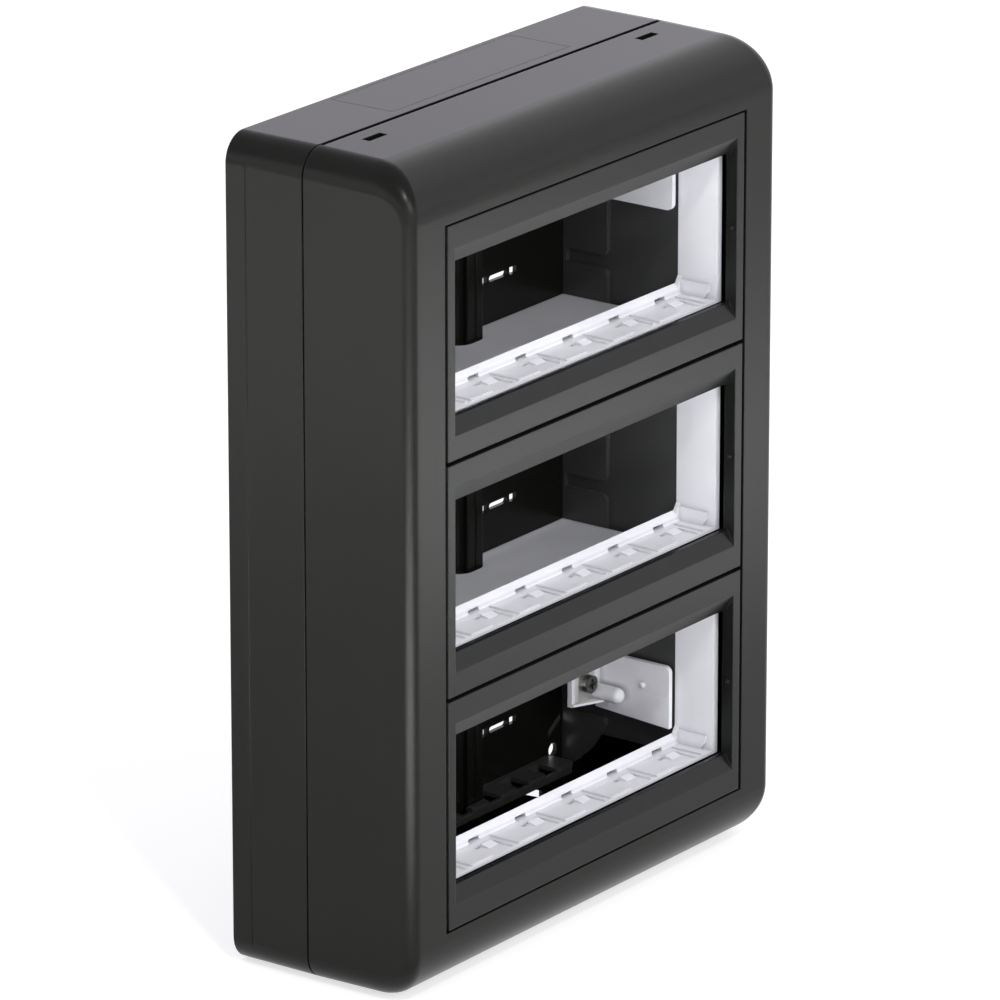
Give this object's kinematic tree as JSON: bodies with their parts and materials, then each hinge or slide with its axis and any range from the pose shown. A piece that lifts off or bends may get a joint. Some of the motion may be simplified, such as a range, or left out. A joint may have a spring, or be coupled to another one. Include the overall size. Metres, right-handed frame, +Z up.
{
  "type": "wall plate cover",
  "caption": "Surface-mounting wall box with a clip-on plate cover, stacked framed windows, white module carriers, shelves and terminal supports.",
  "frame": {"origin": "centre of the back face, on the wall", "axes": "+Z up, +X to the right seen from the room, -Y towards the room (the front of the cover), +Y into the wall"},
  "size_m": [0.175, 0.0634, 0.243],
  "materials": {
    "cover_plastic": "fine-textured charcoal moulded plastic",
    "trim_plastic": "satin charcoal moulded plastic",
    "box_plastic": "fine-textured black moulded plastic",
    "white_plastic": "satin white moulded plastic",
    "plated_steel": "zinc-plated steel"
  },
  "bodies": {
    "box": {"back_box": "box_plastic", "top_entry_blank": "box_plastic", "bottom_entry_blank": "box_plastic", "left_cable_guide": "box_plastic", "right_cable_guide": "box_plastic", "cable_comb": "box_plastic", "top_row_carrier": "white_plastic", "middle_row_carrier": "white_plastic", "bottom_row_carrier": "white_plastic", "upper_shelf": "white_plastic", "lower_shelf": "white_plastic", "top_terminal_support": "white_plastic", "bottom_terminal_support": "white_plastic", "top_terminal_plate": "plated_steel", "top_terminal_screw": "plated_steel", "bottom_terminal_plate": "plated_steel", "bottom_terminal_screw": "plated_steel"},
    "cover": {"front_cover": "cover_plastic"},
    "top_trim": {"top_row_trim": "trim_plastic"},
    "middle_trim": {"middle_row_trim": "trim_plastic"},
    "bottom_trim": {"bottom_row_trim": "trim_plastic"},
    "top_left_latch_tongue": {"top_left_latch": "box_plastic"},
    "bottom_left_latch_tongue": {"bottom_left_latch": "box_plastic"},
    "top_right_latch_tongue": {"top_right_latch": "box_plastic"},
    "bottom_right_latch_tongue": {"bottom_right_latch": "box_plastic"}
  },
  "joints": [
    {"name": "cover_lift_off", "type": "slide", "parent": "box", "child": "cover", "axis": [0, -1, 0], "range_m": [0, 0.08]},
    {"name": "top_trim_lift_off", "type": "slide", "parent": "cover", "child": "top_trim", "axis": [0, -1, 0], "range_m": [0, 0.03]},
    {"name": "middle_trim_lift_off", "type": "slide", "parent": "cover", "child": "middle_trim", "axis": [0, -1, 0], "range_m": [0, 0.03]},
    {"name": "bottom_trim_lift_off", "type": "slide", "parent": "cover", "child": "bottom_trim", "axis": [0, -1, 0], "range_m": [0, 0.03]},
    {"name": "top_left_latch_flex", "type": "hinge", "parent": "box", "child": "top_left_latch_tongue", "pos_m": [-0.0644, -0.0245, 0.1176], "axis": [1, 0, 0], "range_deg": [0, 5], "stiffness_Nm_per_rad": 0.3},
    {"name": "bottom_left_latch_flex", "type": "hinge", "parent": "box", "child": "bottom_left_latch_tongue", "pos_m": [-0.0644, -0.0245, -0.1176], "axis": [-1, 0, 0], "range_deg": [0, 5], "stiffness_Nm_per_rad": 0.3},
    {"name": "top_right_latch_flex", "type": "hinge", "parent": "box", "child": "top_right_latch_tongue", "pos_m": [0.0644, -0.0245, 0.1176], "axis": [1, 0, 0], "range_deg": [0, 5], "stiffness_Nm_per_rad": 0.3},
    {"name": "bottom_right_latch_flex", "type": "hinge", "parent": "box", "child": "bottom_right_latch_tongue", "pos_m": [0.0644, -0.0245, -0.1176], "axis": [-1, 0, 0], "range_deg": [0, 5], "stiffness_Nm_per_rad": 0.3}
  ]
}
